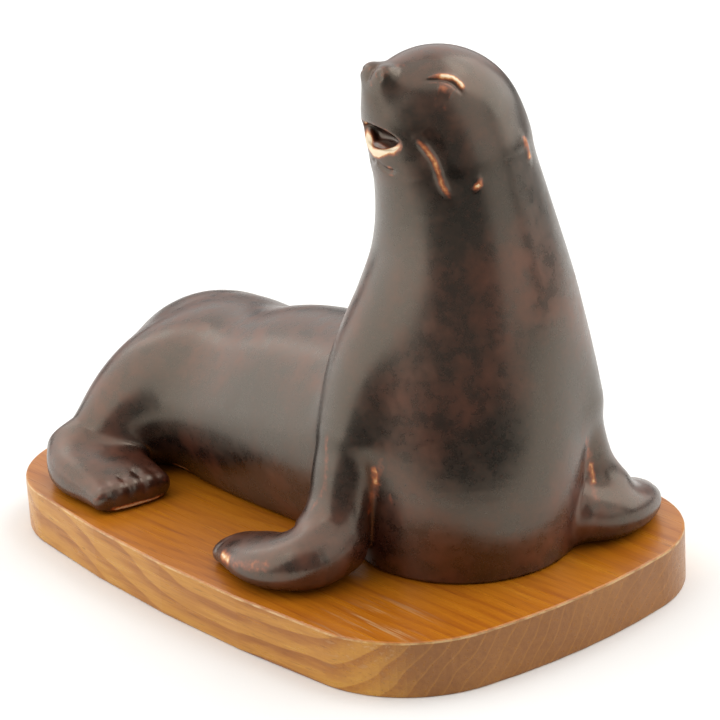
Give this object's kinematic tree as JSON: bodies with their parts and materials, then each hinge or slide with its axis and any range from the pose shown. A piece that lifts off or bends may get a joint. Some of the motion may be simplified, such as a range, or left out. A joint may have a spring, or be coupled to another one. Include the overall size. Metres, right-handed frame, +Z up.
{
  "type": "seal figurine",
  "caption": "Glazed stoneware sea lion with raised head and open mouth, sitting on a low wooden plinth with bowed sides and rounded corners.",
  "frame": {"origin": "centre of the plinth's underside", "axes": "+X along the plinth toward the animal's chest, +Y across it away from the turned head, +Z up"},
  "size_m": [0.254, 0.1664, 0.1965],
  "materials": {
    "stoneware": "semi-gloss dark brown and black glaze, mottled rust, thin and rust to cream on the edges",
    "plinth_wood": "amber lacquered teak, satin"
  },
  "bodies": {
    "root": {"seal_figure": "stoneware", "wooden_base": "plinth_wood"}
  },
  "joints": []
}
